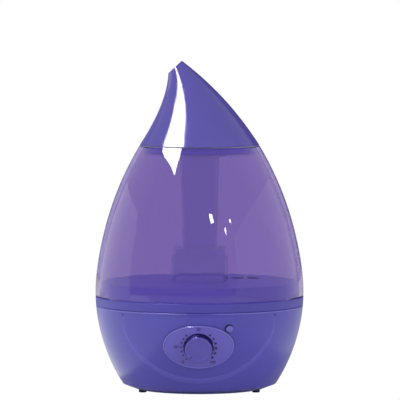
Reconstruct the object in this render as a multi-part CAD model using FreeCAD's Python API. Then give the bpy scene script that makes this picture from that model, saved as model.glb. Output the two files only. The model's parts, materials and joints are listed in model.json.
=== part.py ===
"""A teardrop cool mist humidifier: a bowl-shaped base, a see-through water tank and a turning mist nozzle.

Millimetres, +Z up, the front faces -Y. The origin is on the floor, on the vertical axis of the body.
"""

import FreeCAD, Part
import math
import os

V = FreeCAD.Vector
UP = V(0, 0, 1)

# ---- Driving dimensions -------------------------------------------------------------------------
FOOT_HEIGHT = 3.0  # the body's flat underside is this far above the floor
SPLIT_Z = 89.6  # the tank lifts off the base here
WELD_Z = 99.4  # the tank's wall is welded to its floor pan here
NECK_Z = 256.0  # the nozzle sits on the tank here
FLAT_R = 66.5  # the flat part of the underside
BEVEL_SLOPE = 0.38  # rise over run of the bevel round the underside
# The body's flank as (radius, height), from the corner of the underside to just above the neck.
FLANK = [(79.7, 7.6), (98.2, 45), (108.5, 99.5), (103.1, 150), (87.3, 205), (62.4, 256), (53.6, 270)]

BASE_WALL = 3.0
TANK_WALL = 4.0
SEAM_V = 0.8  # half the width of the small V grooves at the seams

# Nozzle: a horn of level circles that bends towards -X as it narrows.
HORN_LOW, HORN_HIGH, HORN_STATIONS = 256.3, 344.0, 7
HORN_R, HORN_TAPER, HORN_FLARE = 62.45, 0.653, 0.00027
HORN_BEND, HORN_CURL = 0.00188, 0.0000163
MOUTH_LOW = (-32.0, 331.5)  # x and z of the mouth's low lip
MOUTH_HIGH = (-18.8, 343.8)  # x and z of the tip
HORN_WALL = 2.8
SKIRT_R, SKIRT_WALL, SKIRT_LOW = 56.4, 1.8, 248.0

# Tank floor pan, mist hub and mist tube.
PAN_WALL = 2.4
PAN_FLOOR_Z = 112.0  # underside of the pan's floor
PAN_WELL_R = 102.6  # outside of the pan's raised middle
HUB_R, HUB_STEP_Z = 29.6, 140.7
HUB_TOP_R, HUB_TOP_Z = 27.0, 150.6
TUBE_LOW_R, TUBE_TOP_R, TUBE_WALL = 17.7, 20.5, 1.8
TUBE_TOP_Z = 252.0
POCKET_Z, POCKET_R, POCKET_WALL = 245.6, 58.5, 1.6  # the pocket in the tank's top for the nozzle's skirt

# Deck: the water basin on top of the base.
BASIN_R = 96.6
BASIN_WALL = 2.2
BASIN_RIM_Z = 109.0
BASIN_FLOOR_Z, BASIN_FLOOR_R = 70.0, 80.0
BASIN_CONE_Z = 86.0  # the basin's wall is upright above this
DECK_FLANGE_Z = 84.0

# Dial on the front.
DIAL_Z = 54.6
BEZEL_A, BEZEL_B = 36.3, 23.4  # half width and half height of the oval plate
BEZEL_PROUD, BEZEL_DEEP = 1.4, 1.4
BEZEL_GAP = 0.4
WELL_R, WELL_W = 15.4, 0.4  # the knob's well in the plate
KNOB_LOW_R, KNOB_TOP_R = 14.6, 13.8
KNOB_LOW, KNOB_TOP = 0.7, 8.4
KNOB_OFF_ANGLE = 225.0  # the pointer's direction when switched off, seen from the front
LENS_X, LENS_Z, LENS_R = 31.6, 73.2, 3.7

# The wide, shallow U-shaped panel on the front and the finger scoop over it.
PANEL_Z, PANEL_A, PANEL_B, PANEL_DEEP = 87.0, 79.0, 71.0, 0.6
SCOOP_Z, SCOOP_MINOR, SCOOP_DEEP, SCOOP_SHIFT = 85.8, 2.8, 0.8, 15.0

# Fill cap under the tank, off to the back right.
CAP_X, CAP_Y = 48.0, 40.0
FILL_NECK_R, FILL_NECK_WALL = 16.0, 2.5
CAP_R, CAP_LOW_Z, CAP_TOP_Z = 22.5, 94.0, 111.0
VALVE_LIFT = 4.0  # how far the post holds the valve open
VALVE_Z = CAP_LOW_Z + 2.5 + VALVE_LIFT  # underside of the valve's seal

FLOAT_X, FLOAT_Y, FLOAT_TRAVEL, FLOAT_POST_R = -40.0, -40.0, 8.0, 2.98
FAN_X, FAN_Y, FAN_SIZE, FAN_LOW, FAN_HIGH = 0.0, 23.0, 50.0, 8.0, 23.0
DUCT_Y, DUCT_W, DUCT_D, DUCT_WALL, DUCT_LOW = 33.4, 24.0, 15.0, 1.6, 48.0
CHAMBER_R, CHAMBER_WALL, CHAMBER_TOP = 25.0, 1.8, 118.0
WINDOW_LOW, WINDOW_HIGH = 94.0, 108.0
COVER_R, COVER_THICK = 53.6, 2.6
GLAND_Z, GLAND_R, LEAD_R = 22.0, 5.4, 3.3
BOARD_Z, BOARD_X, BOARD_Y, BOARD_W, BOARD_D = 48.0, -20.0, -42.0, 76.0, 36.0

FOOT_R, FOOT_CIRCLE = 4.05, 62.3
FOOT_ANGLES = (-71.0, 71.0, 180.0)  # from the front, in degrees
COVER_SCREWS = (53.4, (45, 135, 225, 315))  # circle and angles
DECK_SCREWS = (100.3, (30, 150, 270))
CLAMP_SCREWS = (17.2, (60, 180, 300))
CHAMBER_PEGS = (27.6, (60, 120, 240, 300))


# ---- Helpers ------------------------------------------------------------------------------------
def cylinder(radius, low, high, x=0.0, y=0.0):
    return Part.makeCylinder(radius, high - low, V(x, y, low), UP)


def tube(outer, inner, low, high, x=0.0, y=0.0):
    return cylinder(outer, low, high, x, y).cut(cylinder(inner, low - 1, high + 1, x, y))


def block(x0, x1, y0, y1, z0, z1):
    return Part.makeBox(x1 - x0, y1 - y0, z1 - z0, V(x0, y0, z0))


def lathe(points, x=0.0, y=0.0):
    """A solid turned about the vertical line through (x, y) from (radius, height) corners."""
    corners = [V(x + r, y, z) for r, z in points]
    face = Part.Face(Part.makePolygon(corners + corners[:1]))
    return face.revolve(V(x, y, 0), UP, 360)


def joined(shapes):
    first, rest = shapes[0], shapes[1:]
    return first.fuse(rest).removeSplitter() if rest else first


def polar(radius, degrees):
    """(x, y) of a point on a circle, with the angle counted from the front, anticlockwise from above."""
    turn = math.radians(degrees)
    return radius * math.sin(turn), -radius * math.cos(turn)


def ring_of(circle):
    """The (x, y) spots of one of the screw circles."""
    radius, angles = circle
    return [polar(radius, angle) for angle in angles]


def turned_copies(shape, angles, x=0.0, y=0.0):
    copies = []
    for angle in angles:
        copy = shape.copy()
        copy.rotate(V(x, y, 0), UP, angle)
        copies.append(copy)
    return copies


def frame(origin, right, up):
    """A placement whose local x, y and z run right, up and outwards."""
    out = right.cross(up)
    return FreeCAD.Placement(FreeCAD.Matrix(
        right.x, up.x, out.x, origin.x,
        right.y, up.y, out.y, origin.y,
        right.z, up.z, out.z, origin.z,
        0, 0, 0, 1,
    ))


def placed(shape, placement):
    copy = shape.copy()
    copy.Placement = placement.multiply(shape.Placement)
    return copy


def try_fillet(shape, radius, wanted):
    """Rounds the edges that wanted() picks, or leaves the shape as it is where that can't be built."""
    edges = [e for e in shape.Edges if wanted(e)]
    try:
        rounded = shape.makeFillet(radius, edges)
        if rounded.isValid() and rounded.Volume > 0:
            return rounded
    except Exception:
        pass
    print("no fillet of", radius, "on", len(edges), "edges")
    return shape


# ---- The body's skin ----------------------------------------------------------------------------
def flank_curve(inset=0.0):
    """The flank as a smooth curve in the XZ plane, moved inwards along its normal by inset."""
    curve = Part.BSplineCurve()
    curve.interpolate([V(r, 0, z) for r, z in FLANK])
    if not inset:
        return curve
    moved = []
    steps = 16
    for i in range(steps + 1):
        u = curve.FirstParameter + (curve.LastParameter - curve.FirstParameter) * i / steps
        along = curve.tangent(u)[0]
        moved.append(curve.value(u) + V(-along.z, 0, along.x) * inset)
    inner = Part.BSplineCurve()
    inner.interpolate(moved)
    return inner


FLANK_CURVE = flank_curve()


def flank_at(z):
    """(radius, lean) of the flank at a height; lean is the angle in radians by which it faces down."""
    low, high = FLANK_CURVE.FirstParameter, FLANK_CURVE.LastParameter
    for _ in range(50):
        middle = (low + high) / 2
        if FLANK_CURVE.value(middle).z < z:
            low = middle
        else:
            high = middle
    along = FLANK_CURVE.tangent(low)[0]
    return FLANK_CURVE.value(low).x, math.atan2(along.x, along.z)


_skins = {}


def skin(inset):
    """The whole body below the nozzle as one solid, with its surface moved inwards by inset."""
    if inset in _skins:
        return _skins[inset]
    curve = flank_curve(inset)
    start, end = curve.StartPoint, curve.EndPoint
    below = V(start.x - (start.z + 5) * 0.75, 0, -5)
    wire = Part.Wire([
        Part.LineSegment(V(0, 0, -5), below).toShape(),
        Part.LineSegment(below, start).toShape(),
        curve.toShape(),
        Part.LineSegment(end, V(0, 0, end.z)).toShape(),
        Part.LineSegment(V(0, 0, end.z), V(0, 0, -5)).toShape(),
    ])
    whole = Part.Face(wire).revolve(V(0, 0, 0), UP, 360)
    floor = FOOT_HEIGHT + inset
    reach = 60.0
    bowl = lathe([
        (0, floor), (FLAT_R - inset * 0.3, floor),
        (FLAT_R + reach, floor + (reach + inset * 0.3) * BEVEL_SLOPE),
        (FLAT_R + reach, 400), (0, 400),
    ])
    _skins[inset] = whole.common(bowl)
    return _skins[inset]


def band(low, high, outer_inset, inner_inset):
    """The part of the wall between two insets and two heights."""
    ring = skin(outer_inset).cut(skin(inner_inset))
    return ring.common(cylinder(200, low, high))


def seam_groove(z):
    """A ring with a V section that chamfers both edges of a seam."""
    radius = flank_at(z)[0]
    return lathe([(radius + 3, z - SEAM_V - 3), (radius - SEAM_V, z), (radius + 3, z + SEAM_V + 3)])


def dial_frame():
    radius, lean = flank_at(DIAL_Z)
    return frame(V(0, -radius, DIAL_Z), V(1, 0, 0), V(0, -math.sin(lean), math.cos(lean)))


def lens_frame():
    radius, lean = flank_at(LENS_Z)
    side = math.asin(LENS_X / radius)
    right = V(math.cos(side), math.sin(side), 0)
    out_flat = V(math.sin(side), -math.cos(side), 0)
    up = out_flat * math.sin(lean) + UP * math.cos(lean)
    return frame(V(LENS_X, -radius * math.cos(side), LENS_Z), right, up)


def gland_frame():
    radius, lean = flank_at(GLAND_Z)
    return frame(V(0, radius, GLAND_Z), V(-1, 0, 0), V(0, math.sin(lean), math.cos(lean)))


def dial_cylinder(radius, low, high):
    """A round solid on the dial's own axis, between two distances out from the body's surface."""
    return placed(Part.makeCylinder(radius, high - low, V(0, 0, low), UP), dial_frame())


def dial_lathe(points):
    return placed(lathe(points), dial_frame())


def oval(half_width, half_height, low, high):
    """An oval prism on the dial's axis."""
    ellipse = Part.Ellipse(V(0, 0, low), half_width, half_height)
    solid = Part.Face(Part.Wire([ellipse.toShape()])).extrude(V(0, 0, high - low))
    return placed(solid, dial_frame())


# ---- Base body ----------------------------------------------------------------------------------
def panel_recess():
    """The thin layer that the U-shaped front panel is sunk by."""
    ellipse = Part.Ellipse(V(0, 0, 0), PANEL_A, PANEL_B)
    prism = Part.Face(Part.Wire([ellipse.toShape()])).extrude(V(0, 0, 100))
    prism = placed(prism, frame(V(0, -25, PANEL_Z), V(1, 0, 0), UP))
    prism = prism.common(cylinder(200, 0, PANEL_Z))
    return prism.common(skin(0).cut(skin(PANEL_DEEP)))


def base_shell():
    shell = band(FOOT_HEIGHT - 1, SPLIT_Z - 0.05, 0, BASE_WALL)
    shell = shell.cut(cylinder(COVER_R + 0.3, 0, 8))
    ledge = tube(59.0, 50.8, 5.7, 7.9).common(skin(0))
    bosses = []
    for x, y in ring_of(COVER_SCREWS):
        bosses.append(cylinder(4.0, 5.7, 17, x, y))
    lug_ring = tube(106, 97.0, 76, 79).common(skin(BASE_WALL - 0.5))
    lug = lug_ring.common(block(-5, 5, -110, 0, 70, 80))
    lugs = turned_copies(lug, DECK_SCREWS[1])
    shell = joined([shell, ledge] + bosses + lugs)
    holes = []
    for x, y in ring_of(COVER_SCREWS):
        holes.append(cylinder(1.4, 0, 16, x, y))
        holes.append(cylinder(4.5, 0, 5.7, x, y))  # takes one of the cover's screw ears
    for x, y in ring_of(DECK_SCREWS):
        holes.append(cylinder(1.5, 70, 85, x, y))
    holes.append(oval(BEZEL_A + BEZEL_GAP, BEZEL_B + BEZEL_GAP, -20, 20).cut(skin(BEZEL_DEEP)))
    holes.append(dial_cylinder(3.6, -10, 5))
    holes.append(placed(cylinder(LENS_R + 0.4, -8, 8), lens_frame()))
    holes.append(placed(cylinder(GLAND_R + 0.1, -8, 8), gland_frame()))
    holes.append(panel_recess())
    radius = flank_at(SCOOP_Z)[0] + SCOOP_SHIFT - SCOOP_DEEP + SCOOP_MINOR
    holes.append(Part.makeTorus(radius, SCOOP_MINOR, V(0, SCOOP_SHIFT, SCOOP_Z), UP))
    holes.append(seam_groove(SPLIT_Z))
    for hole in holes:
        shell = shell.cut(hole)
    return shell


def base_deck():
    """The splash ring round the basin, with the flange that the tank's skirt drops over."""
    wall = BASIN_WALL
    flange_r = flank_at(DECK_FLANGE_Z)[0] - BASE_WALL - 0.3
    ring = lathe([
        (BASIN_R, DECK_FLANGE_Z), (flange_r, DECK_FLANGE_Z), (flange_r, DECK_FLANGE_Z + wall),
        (BASIN_R + wall, DECK_FLANGE_Z + wall), (BASIN_R + wall, BASIN_RIM_Z), (BASIN_R, BASIN_RIM_Z),
    ])
    spots = ring_of(DECK_SCREWS)
    deck = joined([ring] + [cylinder(3.0, 79.1, DECK_FLANGE_Z + 0.5, x, y) for x, y in spots])
    for x, y in spots:
        deck = deck.cut(cylinder(1.3, 70, DECK_FLANGE_Z + 0.2, x, y))
    return deck.cut(basin_bowl(0.02))


def basin_bowl(grown=0.0):
    """The basin's outer form; with its hollow still filled when grown is given."""
    wall = BASIN_WALL + grown
    top = DECK_FLANGE_Z - 0.02 + grown
    outline = [
        (0, BASIN_FLOOR_Z - wall), (BASIN_FLOOR_R + 1.0 + grown, BASIN_FLOOR_Z - wall),
        (BASIN_R + wall, BASIN_CONE_Z - 5), (BASIN_R + wall, top),
    ]
    if grown:
        return lathe(outline + [(0, top)])
    hollow = [
        (BASIN_R, top), (BASIN_R, BASIN_CONE_Z - 3), (BASIN_FLOOR_R, BASIN_FLOOR_Z), (0, BASIN_FLOOR_Z),
    ]
    return lathe(outline + hollow)


def water_basin():
    """The bowl that feeds the mist disc, with its collar, board posts and the pegs for the mist chamber."""
    low = BASIN_FLOOR_Z - BASIN_WALL
    parts = [basin_bowl(), tube(20, 14, 62.2, low + 0.5)]
    parts += [cylinder(3.2, BOARD_Z + 1.6, low + 0.5, x, y) for x, y in board_corners()]
    parts += [cylinder(2.0, low + 1, BASIN_FLOOR_Z + 3, x, y) for x, y in ring_of(CHAMBER_PEGS)]
    basin = joined(parts).cut(cylinder(13.95, 60, BASIN_FLOOR_Z + 5))
    half_w, half_d = DUCT_W / 2 + 0.15, DUCT_D / 2 + 0.15
    basin = basin.cut(block(-half_w, half_w, DUCT_Y - half_d, DUCT_Y + half_d, 60, 75))
    for x, y in ring_of(CLAMP_SCREWS):
        basin = basin.cut(cylinder(1.2, 55, BASIN_FLOOR_Z - 1.5, x, y))
    for x, y in board_corners():
        basin = basin.cut(cylinder(1.2, 40, low - 1, x, y))
    return basin


def valve_post():
    """The ribbed post that pushes the tank's valve open."""
    low, top = BASIN_FLOOR_Z + 0.02, CAP_LOW_Z - 6.1
    rib = block(CAP_X - 8, CAP_X + 8, CAP_Y - 1, CAP_Y + 1, low, top - 4)
    return joined([cylinder(3.5, low, top, CAP_X, CAP_Y)] + turned_copies(rib, (0, 90), CAP_X, CAP_Y))


def float_post():
    """The post that guides the float, with the foot that the float rests on."""
    low = BASIN_FLOOR_Z + 0.02
    post = cylinder(FLOAT_POST_R, low, BASIN_FLOOR_Z + 26.0, FLOAT_X, FLOAT_Y)
    return joined([post, cylinder(5.0, low, BASIN_FLOOR_Z + 1.9, FLOAT_X, FLOAT_Y)])


def board_corners():
    inset = 5.0
    half_w, half_d = BOARD_W / 2 - inset, BOARD_D / 2 - inset
    return [(BOARD_X + i * half_w, BOARD_Y + j * half_d) for i in (-1, 1) for j in (-1, 1)]


def bottom_cover():
    top = FOOT_HEIGHT + COVER_THICK
    cover = cylinder(COVER_R, FOOT_HEIGHT, top)
    ring = tube(24.6, 23.0, top - 0.5, FAN_LOW - 0.05, FAN_X, FAN_Y)
    cover = joined([cover, ring])
    slot_count, slot_pitch, slot_width = 9, 4.6, 2.4
    for i in range(slot_count):
        x = FAN_X + (i - (slot_count - 1) / 2) * slot_pitch
        half = math.sqrt(22.0 ** 2 - (x - FAN_X) ** 2)
        cover = cover.cut(block(x - slot_width / 2, x + slot_width / 2, FAN_Y - half, FAN_Y + half, 0, 12))
    for x, y in ring_of(COVER_SCREWS):
        cover = cover.fuse(cylinder(4.2, FOOT_HEIGHT, top, x, y))
        cover = cover.cut(cylinder(3.0, 0, FOOT_HEIGHT + 1.6, x, y)).cut(cylinder(1.6, 0, 12, x, y))
    return cover.removeSplitter()


def rubber_feet():
    feet = []
    for angle in FOOT_ANGLES:
        x, y = polar(FOOT_CIRCLE, angle)
        feet.append(lathe([
            (0, 0), (FOOT_R - 0.5, 0), (FOOT_R, 0.5), (FOOT_R, FOOT_HEIGHT), (0, FOOT_HEIGHT),
        ], x, y))
    return Part.makeCompound(feet)


def pan_screw(x, y, head_low, head_r, head_high, shank_r, tip):
    """A pan-head screw with a cross recess, pointing up."""
    head = cylinder(head_r, head_low, head_high, x, y)
    screw = joined([head, cylinder(shank_r, head_high - 0.2, tip, x, y)])
    depth = min(0.9, (head_high - head_low) * 0.6)
    for w, d in ((head_r * 1.1, 0.6), (0.6, head_r * 1.1)):
        screw = screw.cut(block(x - w / 2, x + w / 2, y - d / 2, y + d / 2, head_low - 1, head_low + depth))
    return screw


def cover_screws():
    spots = ring_of(COVER_SCREWS)
    return Part.makeCompound([pan_screw(x, y, 3.1, 2.7, 4.6, 1.35, 14.5) for x, y in spots])


def deck_screws():
    spots = ring_of(DECK_SCREWS)
    return Part.makeCompound([pan_screw(x, y, 74.2, 2.4, 75.95, 1.25, 83.5) for x, y in spots])


def cord_gland():
    """A rubber grommet in the back wall, where the mains lead comes out."""
    outer_lip = placed(cylinder(GLAND_R + 2.2, -1.5, 1.8), gland_frame()).cut(skin(-0.03))
    inner_lip = placed(cylinder(GLAND_R + 1.8, -5.2, -2), gland_frame()).common(skin(BASE_WALL + 0.03))
    gland = joined([placed(cylinder(GLAND_R, -5, 1.6), gland_frame()), outer_lip, inner_lip])
    return gland.cut(placed(cylinder(LEAD_R, -20, 20), gland_frame()))


# ---- Dial ---------------------------------------------------------------------------------------
def dial_bezel():
    plate = oval(BEZEL_A, BEZEL_B, -20, 20).common(skin(-BEZEL_PROUD).cut(skin(BEZEL_DEEP - 0.03)))
    plate = plate.common(dial_cylinder(60, -12, 4))
    solids = sorted(plate.Solids, key=lambda s: s.Volume)
    plate = solids[-1]
    front = flank_at(DIAL_Z)[0] - 20
    outline = lambda e: e.Length > 150 and e.BoundBox.Center.y < -front and farther_out(e)
    plate = try_fillet(plate, 1.0, outline)
    plate = plate.cut(dial_cylinder(WELL_R, WELL_W, 20))
    return plate.cut(dial_cylinder(7.0, -12, 20))


def farther_out(edge):
    """True for the plate's outer rim edge, which stands off the body's surface."""
    point = edge.valueAt(edge.FirstParameter)
    radius = math.hypot(point.x, point.y)
    return radius > flank_at(point.z)[0]


def control_knob():
    rim, dish = 1.3, 0.5
    knob = dial_lathe([
        (0, KNOB_LOW), (KNOB_LOW_R, KNOB_LOW), (KNOB_TOP_R, KNOB_TOP), (11.2, KNOB_TOP),
        (10.2, KNOB_TOP - dish), (0, KNOB_TOP - dish),
    ])

    def top_edge(edge):
        circle = edge.Curve
        return isinstance(circle, Part.Circle) and abs(circle.Radius - KNOB_TOP_R) < 0.01

    knob = try_fillet(knob, rim, top_edge)
    knob = knob.cut(dial_cylinder(8.0, KNOB_LOW - 1, 4.2)).cut(dial_cylinder(3.0, 4, 7.0))
    pointer = block(9.6, 15, -0.7, 0.7, KNOB_TOP - 0.9, KNOB_TOP + 1)
    pointer.rotate(V(0, 0, 0), UP, KNOB_OFF_ANGLE)
    return knob.cut(placed(pointer, dial_frame()))


def knob_shaft():
    return dial_cylinder(2.98, -11.0, 6.9)


def potentiometer():
    body = dial_lathe([
        (3.06, -4.2), (3.06, -11.3), (0, -11.3), (0, -14), (8.5, -14), (8.5, -4.9), (3.5, -4.9),
        (3.5, 2.6), (3.06, 2.6),
    ])
    tags = [block(x - 1, x + 1, -13, -5, -10.4, -9.6) for x in (-5, 0, 5)]
    return joined([body] + [placed(tag, dial_frame()) for tag in tags])


def potentiometer_nut():
    flats = 10.0
    corners = [V(flats / math.sqrt(3) * math.cos(math.radians(60 * i)),
                 flats / math.sqrt(3) * math.sin(math.radians(60 * i)), 0) for i in range(6)]
    hexagon = Part.Face(Part.makePolygon(corners + corners[:1])).extrude(V(0, 0, 2.0))
    hexagon = hexagon.cut(cylinder(3.55, -1, 5))
    hexagon.translate(V(0, 0, -BEZEL_DEEP + 0.35))
    return placed(hexagon, dial_frame())


def indicator_lens():
    sphere_r = 5.0
    dome = Part.makeSphere(sphere_r, V(0, 0, 1.9 - sphere_r)).common(cylinder(LENS_R, -1, 6))
    stem = cylinder(LENS_R, -2.6, -0.5)
    flange = cylinder(LENS_R + 1.4, -4.8, -3.7)
    body = joined([dome, stem, cylinder(LENS_R, -3.8, -2.5), flange])
    return placed(body.cut(cylinder(1.7, -6, -1.8)), lens_frame())


def indicator_lamp():
    """The small lamp behind the lens, on its own board."""
    lamp = joined([cylinder(1.5, -7.6, -2.6), cylinder(1.9, -8.2, -7.2)])
    return placed(lamp, lens_frame())


def indicator_board():
    board = block(-5, 5, -8.5, 2.4, -9.8, -8.2)
    return placed(board, lens_frame())


# ---- Mist maker ---------------------------------------------------------------------------------
def transducer_disc():
    return cylinder(10.0, 63.85, 65.05)


def transducer_seal():
    seal = tube(13.9, 8.5, 62.2, 66.6)
    return seal.cut(cylinder(10.05, 63.8, 65.1))


def transducer_clamp():
    clamp = tube(19.5, 9.0, 60.2, 62.1)
    for x, y in ring_of(CLAMP_SCREWS):
        clamp = clamp.cut(cylinder(1.5, 50, 70, x, y))
    return clamp


def clamp_screws():
    spots = ring_of(CLAMP_SCREWS)
    return Part.makeCompound([pan_screw(x, y, 58.3, 2.2, 60.1, 1.15, 67.5) for x, y in spots])


def mist_chamber():
    inner = CHAMBER_R - CHAMBER_WALL
    chamber = tube(CHAMBER_R, inner, BASIN_FLOOR_Z + 0.05, CHAMBER_TOP)
    chamber = joined([chamber] + [
        tube(3.8, 2.05, BASIN_FLOOR_Z + 0.05, BASIN_FLOOR_Z + 2.6, x, y).cut(cylinder(inner + 0.5, 60, 90))
        for x, y in ring_of(CHAMBER_PEGS)
    ])
    slot = block(-4, 4, -40, 0, BASIN_FLOOR_Z - 1, BASIN_FLOOR_Z + 9)
    for cutter in turned_copies(slot, (0, 30, 90, 270, 330)):
        chamber = chamber.cut(cutter)
    return chamber.cut(block(-9, 9, 0, 40, WINDOW_LOW, WINDOW_HIGH))


def rectangle(half_x, y0, y1, z):
    corners = [V(-half_x, y0, z), V(half_x, y0, z), V(half_x, y1, z), V(-half_x, y1, z)]
    return Part.makePolygon(corners + corners[:1])


def fan_hood():
    """A hood over the fan that narrows to the riser."""
    low, knee = FAN_HIGH + 0.05, FAN_HIGH + 6

    def hull(shrink):
        half_fan, half_w, half_d = FAN_SIZE / 2 - shrink, DUCT_W / 2 - shrink, DUCT_D / 2 - shrink
        skirt = block(-half_fan, half_fan, FAN_Y - half_fan, FAN_Y + half_fan, low, knee)
        slope = Part.makeLoft([
            rectangle(half_fan, FAN_Y - half_fan, FAN_Y + half_fan, knee),
            rectangle(half_w, DUCT_Y - half_d, DUCT_Y + half_d, DUCT_LOW),
        ], True, True)
        return joined([skirt, slope])

    hood = joined([hull(0).cut(hull(DUCT_WALL))] + [cylinder(3.9, low, knee, x, y) for x, y in fan_corners()])
    for x, y in fan_corners():
        hood = hood.cut(cylinder(1.3, 0, knee - 1, x, y))
    return hood


def air_riser():
    """The upright duct, closed on top, with a snout that opens into the mist chamber."""
    half_w, half_d = DUCT_W / 2, DUCT_D / 2
    low, top, wall = DUCT_LOW + 0.02, PAN_FLOOR_Z - 0.8, DUCT_WALL
    riser = block(-half_w, half_w, DUCT_Y - half_d, DUCT_Y + half_d, low, top)
    snout = block(-10.6, 10.6, 18, DUCT_Y, WINDOW_LOW - 1.6, WINDOW_HIGH + 1.6)
    riser = joined([riser, snout])
    front, back = DUCT_Y - half_d + wall, DUCT_Y + half_d - wall
    riser = riser.cut(block(-half_w + wall, half_w - wall, front, back, 0, top - wall))
    riser = riser.cut(block(-9, 9, 10, DUCT_Y, WINDOW_LOW, WINDOW_HIGH))
    return riser.cut(cylinder(CHAMBER_R + 0.05, 60, 130))


def fan_corners():
    return [(FAN_X + i * 20, FAN_Y + j * 20) for i in (-1, 1) for j in (-1, 1)]


def fan_frame():
    half = FAN_SIZE / 2
    body = block(-half, half, -half, half, FAN_LOW, FAN_HIGH).cut(cylinder(22.6, 0, 40))
    hub = cylinder(11.0, FAN_LOW, FAN_LOW + 2.0)
    arms = turned_copies(block(8, 24, -1.5, 1.5, FAN_LOW, FAN_LOW + 2.0), (45, 135, 225, 315))
    body = joined([body, hub, cylinder(3.4, FAN_LOW + 1, FAN_LOW + 7.0)] + arms)
    for i in (-1, 1):
        for j in (-1, 1):
            body = body.cut(cylinder(1.6, 0, 40, i * 20, j * 20))
    body = body.cut(cylinder(1.06, FAN_LOW + 1.5, 40))
    body.translate(V(FAN_X, FAN_Y, 0))
    return body


def fan_rotor():
    hub = lathe([
        (0, FAN_LOW + 13.4), (9.2, FAN_LOW + 13.4), (10.0, FAN_LOW + 12.6), (10.0, FAN_LOW + 3),
        (8.8, FAN_LOW + 3), (8.8, FAN_LOW + 11.4), (1.0, FAN_LOW + 11.4), (1.0, FAN_LOW + 2.2),
        (0, FAN_LOW + 2.2),
    ])
    blades = []
    for i in range(7):
        blade = block(9.6, 23, -0.55, 0.55, FAN_LOW + 3, FAN_LOW + 14)
        blade.rotate(V(15, 0, FAN_LOW + 8.5), V(1, 0, 0), 42)
        blade.rotate(V(0, 0, 0), UP, i * 360 / 7)
        blades.append(blade.common(tube(21.8, 9.6, FAN_LOW + 3.2, FAN_LOW + 14)))
    rotor = joined([hub] + blades)
    rotor.translate(V(FAN_X, FAN_Y, 0))
    return rotor


def fan_windings():
    coil = tube(8.0, 3.5, FAN_LOW + 2.3, FAN_LOW + 8.8)
    slots = turned_copies(block(4.6, 10, -0.8, 0.8, 0, 30), (0, 90, 180, 270))
    for slot in slots:
        coil = coil.cut(slot)
    coil.translate(V(FAN_X, FAN_Y, 0))
    return coil


def fan_screws():
    low, tip = FAN_LOW - 1.7, FAN_HIGH + 4.5
    return Part.makeCompound([
        pan_screw(x, y, low, 2.7, FAN_LOW - 0.05, 1.25, tip) for x, y in fan_corners()
    ])


# ---- Electronics --------------------------------------------------------------------------------
def driver_board():
    x0, y0 = BOARD_X - BOARD_W / 2, BOARD_Y - BOARD_D / 2
    board = block(x0, x0 + BOARD_W, y0, y0 + BOARD_D, BOARD_Z, BOARD_Z + 1.6)
    for x, y in board_corners():
        board = board.cut(cylinder(1.5, 0, 100, x, y))
    return board


def board_screws():
    return Part.makeCompound([
        pan_screw(x, y, BOARD_Z - 1.9, 2.6, BOARD_Z - 0.05, 1.15, BOARD_Z + 7) for x, y in board_corners()
    ])


def heat_sink():
    """A finned aluminium block under the driver board."""
    x0, y0 = BOARD_X - 30, BOARD_Y - 20
    sink = block(x0, x0 + 44, y0, y0 + 14, BOARD_Z - 24, BOARD_Z - 0.1)
    for i in range(6):
        x = x0 + 4 + i * 6.6
        sink = sink.cut(block(x, x + 3.6, y0 + 3, y0 + 20, 0, BOARD_Z - 1.5 - 0.1))
    return sink


def board_transformer():
    x0, y0 = BOARD_X + 4, BOARD_Y - 2
    core = block(x0, x0 + 24, y0, y0 + 20, BOARD_Z - 19, BOARD_Z - 0.1)
    winding = block(x0 - 3, x0 + 27, y0 + 4, y0 + 16, BOARD_Z - 15, BOARD_Z - 4)
    return joined([core, winding])


def board_capacitors():
    spots = [(BOARD_X - 24, BOARD_Y + 6, 5.0, 18), (BOARD_X - 12, BOARD_Y + 8, 4.0, 12),
             (BOARD_X - 12, BOARD_Y - 1.5, 3.2, 10), (BOARD_X + 22, BOARD_Y - 14, 4.0, 14)]
    return Part.makeCompound([cylinder(r, BOARD_Z - h, BOARD_Z - 0.1, x, y) for x, y, r, h in spots])


# ---- Float --------------------------------------------------------------------------------------
def float_ring():
    low = BASIN_FLOOR_Z + 2.2
    return lathe([
        (3.5, low), (12.0, low), (13.0, low + 1), (13.0, low + 13), (12.0, low + 14), (3.5, low + 14),
    ], FLOAT_X, FLOAT_Y)


def float_clip():
    """The clip that keeps the float on its post."""
    low = BASIN_FLOOR_Z + 2.2 + 14 + FLOAT_TRAVEL + 0.5
    return tube(5.2, 3.0, low, low + 1.6, FLOAT_X, FLOAT_Y)


# ---- Tank ---------------------------------------------------------------------------------------
def tank_shell():
    shell = band(WELD_Z + 0.02, NECK_Z - 0.3, 0, TANK_WALL)
    return shell.cut(seam_groove(WELD_Z))


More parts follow.
